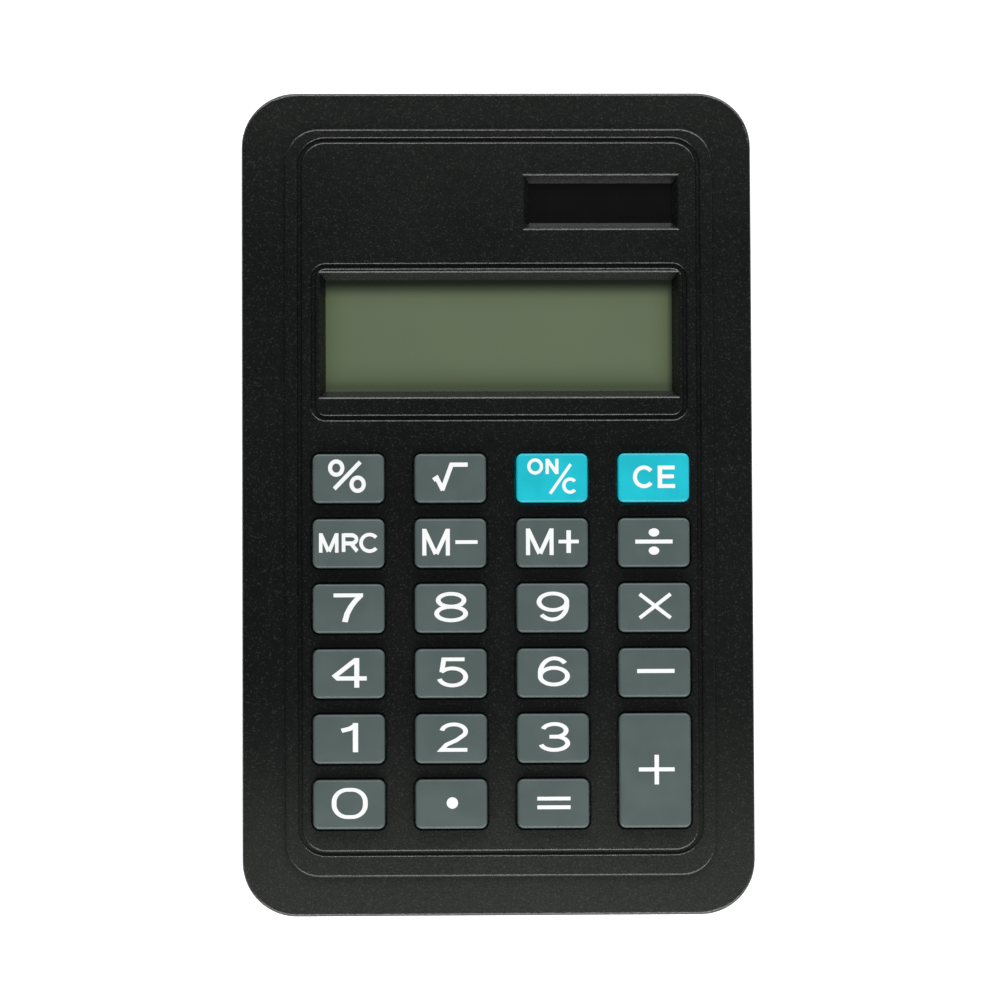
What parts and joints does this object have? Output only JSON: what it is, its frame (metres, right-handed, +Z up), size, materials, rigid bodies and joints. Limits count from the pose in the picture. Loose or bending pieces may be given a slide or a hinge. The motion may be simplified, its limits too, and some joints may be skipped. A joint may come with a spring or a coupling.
{
  "type": "pocket calculator",
  "caption": "Slim flat calculator with sprung keypad, recessed liquid crystal display, solar window, two-shell case and sliding battery door.",
  "frame": {"origin": "middle of the underside, on the plane the four rubber feet stand on", "axes": "+X to the right of the keypad, +Y towards the display end along the length, +Z up out of the keys"},
  "size_m": [0.0724, 0.1168, 0.01],
  "materials": {
    "case_black": "fine spark-eroded texture, injection moulded",
    "door_black": "fine spark-eroded texture, injection moulded",
    "key_grey": "satin, softly rounded edges",
    "key_teal": "satin, softly rounded edges",
    "cell_steel": "nickel plated can",
    "contact_nickel": "nickel plated spring strip",
    "board_green": "solder mask over glass fibre board",
    "resin_black": "poured epoxy",
    "capacitor_tan": "fired ceramic with tinned ends",
    "carbon_print": "printed carbon ink",
    "silicone_grey": "soft translucent silicone",
    "carbon_rubber": "conductive rubber",
    "lcd_olive": "grey-green reflective display face",
    "display_glass": "thin float glass",
    "reflector_foil": "satin reflective film",
    "zebra_rubber": "striped conductive rubber",
    "foam_grey": "closed cell foam",
    "solar_black": "amorphous silicon behind glass",
    "tape_white": "double-sided tape",
    "lead_red": "soft insulation",
    "lead_black": "soft insulation",
    "screw_steel": "zinc plated",
    "foot_rubber": "moulded rubber"
  },
  "bodies": {
    "case": {"top_cover": "case_black", "bottom_cover": "case_black", "rubber_feet": "foot_rubber", "lcd_front_glass": "display_glass", "solar_cell": "solar_black", "button_cell": "cell_steel", "battery_contact_plus": "contact_nickel", "battery_contact_minus": "contact_nickel", "circuit_board": "board_green", "chip_blob": "resin_black", "chip_capacitors": "capacitor_tan", "contact_pads": "carbon_print", "rubber_dome_sheet": "silicone_grey", "contact_pills": "carbon_rubber", "lcd_front_polariser": "lcd_olive", "lcd_rear_glass": "display_glass", "lcd_reflector": "reflector_foil", "zebra_strip": "zebra_rubber", "lcd_foam_pad": "foam_grey", "solar_cell_tape": "tape_white", "solar_lead_red": "lead_red", "solar_lead_black": "lead_black", "case_screws": "screw_steel", "board_screws": "screw_steel"},
    "battery_door": {"battery_door": "door_black"},
    "key_percent": {"key_percent": "key_grey"},
    "key_sqrt": {"key_sqrt": "key_grey"},
    "key_on_clear": {"key_on_clear": "key_teal"},
    "key_clear_entry": {"key_clear_entry": "key_teal"},
    "key_memory_recall": {"key_memory_recall": "key_grey"},
    "key_memory_minus": {"key_memory_minus": "key_grey"},
    "key_memory_plus": {"key_memory_plus": "key_grey"},
    "key_divide": {"key_divide": "key_grey"},
    "key_7": {"key_7": "key_grey"},
    "key_8": {"key_8": "key_grey"},
    "key_9": {"key_9": "key_grey"},
    "key_multiply": {"key_multiply": "key_grey"},
    "key_4": {"key_4": "key_grey"},
    "key_5": {"key_5": "key_grey"},
    "key_6": {"key_6": "key_grey"},
    "key_minus": {"key_minus": "key_grey"},
    "key_1": {"key_1": "key_grey"},
    "key_2": {"key_2": "key_grey"},
    "key_3": {"key_3": "key_grey"},
    "key_plus": {"key_plus": "key_grey"},
    "key_0": {"key_0": "key_grey"},
    "key_point": {"key_point": "key_grey"},
    "key_equals": {"key_equals": "key_grey"}
  },
  "joints": [
    {"name": "battery_door_slide", "type": "slide", "parent": "case", "child": "battery_door", "axis": [0, 1, 0], "range_m": [0, 0.02]},
    {"name": "press_percent", "type": "slide", "parent": "case", "child": "key_percent", "axis": [0, 0, -1], "range_m": [0, 0.0009], "stiffness_N_per_m": 500, "springref_m": -0.0006, "deforming": ["rubber_dome_sheet"]},
    {"name": "press_sqrt", "type": "slide", "parent": "case", "child": "key_sqrt", "axis": [0, 0, -1], "range_m": [0, 0.0009], "stiffness_N_per_m": 500, "springref_m": -0.0006, "deforming": ["rubber_dome_sheet"]},
    {"name": "press_on_clear", "type": "slide", "parent": "case", "child": "key_on_clear", "axis": [0, 0, -1], "range_m": [0, 0.0009], "stiffness_N_per_m": 500, "springref_m": -0.0006, "deforming": ["rubber_dome_sheet"]},
    {"name": "press_clear_entry", "type": "slide", "parent": "case", "child": "key_clear_entry", "axis": [0, 0, -1], "range_m": [0, 0.0009], "stiffness_N_per_m": 500, "springref_m": -0.0006, "deforming": ["rubber_dome_sheet"]},
    {"name": "press_memory_recall", "type": "slide", "parent": "case", "child": "key_memory_recall", "axis": [0, 0, -1], "range_m": [0, 0.0009], "stiffness_N_per_m": 500, "springref_m": -0.0006, "deforming": ["rubber_dome_sheet"]},
    {"name": "press_memory_minus", "type": "slide", "parent": "case", "child": "key_memory_minus", "axis": [0, 0, -1], "range_m": [0, 0.0009], "stiffness_N_per_m": 500, "springref_m": -0.0006, "deforming": ["rubber_dome_sheet"]},
    {"name": "press_memory_plus", "type": "slide", "parent": "case", "child": "key_memory_plus", "axis": [0, 0, -1], "range_m": [0, 0.0009], "stiffness_N_per_m": 500, "springref_m": -0.0006, "deforming": ["rubber_dome_sheet"]},
    {"name": "press_divide", "type": "slide", "parent": "case", "child": "key_divide", "axis": [0, 0, -1], "range_m": [0, 0.0009], "stiffness_N_per_m": 500, "springref_m": -0.0006, "deforming": ["rubber_dome_sheet"]},
    {"name": "press_7", "type": "slide", "parent": "case", "child": "key_7", "axis": [0, 0, -1], "range_m": [0, 0.0009], "stiffness_N_per_m": 500, "springref_m": -0.0006, "deforming": ["rubber_dome_sheet"]},
    {"name": "press_8", "type": "slide", "parent": "case", "child": "key_8", "axis": [0, 0, -1], "range_m": [0, 0.0009], "stiffness_N_per_m": 500, "springref_m": -0.0006, "deforming": ["rubber_dome_sheet"]},
    {"name": "press_9", "type": "slide", "parent": "case", "child": "key_9", "axis": [0, 0, -1], "range_m": [0, 0.0009], "stiffness_N_per_m": 500, "springref_m": -0.0006, "deforming": ["rubber_dome_sheet"]},
    {"name": "press_multiply", "type": "slide", "parent": "case", "child": "key_multiply", "axis": [0, 0, -1], "range_m": [0, 0.0009], "stiffness_N_per_m": 500, "springref_m": -0.0006, "deforming": ["rubber_dome_sheet"]},
    {"name": "press_4", "type": "slide", "parent": "case", "child": "key_4", "axis": [0, 0, -1], "range_m": [0, 0.0009], "stiffness_N_per_m": 500, "springref_m": -0.0006, "deforming": ["rubber_dome_sheet"]},
    {"name": "press_5", "type": "slide", "parent": "case", "child": "key_5", "axis": [0, 0, -1], "range_m": [0, 0.0009], "stiffness_N_per_m": 500, "springref_m": -0.0006, "deforming": ["rubber_dome_sheet"]},
    {"name": "press_6", "type": "slide", "parent": "case", "child": "key_6", "axis": [0, 0, -1], "range_m": [0, 0.0009], "stiffness_N_per_m": 500, "springref_m": -0.0006, "deforming": ["rubber_dome_sheet"]},
    {"name": "press_minus", "type": "slide", "parent": "case", "child": "key_minus", "axis": [0, 0, -1], "range_m": [0, 0.0009], "stiffness_N_per_m": 500, "springref_m": -0.0006, "deforming": ["rubber_dome_sheet"]},
    {"name": "press_1", "type": "slide", "parent": "case", "child": "key_1", "axis": [0, 0, -1], "range_m": [0, 0.0009], "stiffness_N_per_m": 500, "springref_m": -0.0006, "deforming": ["rubber_dome_sheet"]},
    {"name": "press_2", "type": "slide", "parent": "case", "child": "key_2", "axis": [0, 0, -1], "range_m": [0, 0.0009], "stiffness_N_per_m": 500, "springref_m": -0.0006, "deforming": ["rubber_dome_sheet"]},
    {"name": "press_3", "type": "slide", "parent": "case", "child": "key_3", "axis": [0, 0, -1], "range_m": [0, 0.0009], "stiffness_N_per_m": 500, "springref_m": -0.0006, "deforming": ["rubber_dome_sheet"]},
    {"name": "press_plus", "type": "slide", "parent": "case", "child": "key_plus", "axis": [0, 0, -1], "range_m": [0, 0.0009], "stiffness_N_per_m": 500, "springref_m": -0.0006, "deforming": ["rubber_dome_sheet"]},
    {"name": "press_0", "type": "slide", "parent": "case", "child": "key_0", "axis": [0, 0, -1], "range_m": [0, 0.0009], "stiffness_N_per_m": 500, "springref_m": -0.0006, "deforming": ["rubber_dome_sheet"]},
    {"name": "press_point", "type": "slide", "parent": "case", "child": "key_point", "axis": [0, 0, -1], "range_m": [0, 0.0009], "stiffness_N_per_m": 500, "springref_m": -0.0006, "deforming": ["rubber_dome_sheet"]},
    {"name": "press_equals", "type": "slide", "parent": "case", "child": "key_equals", "axis": [0, 0, -1], "range_m": [0, 0.0009], "stiffness_N_per_m": 500, "springref_m": -0.0006, "deforming": ["rubber_dome_sheet"]}
  ]
}
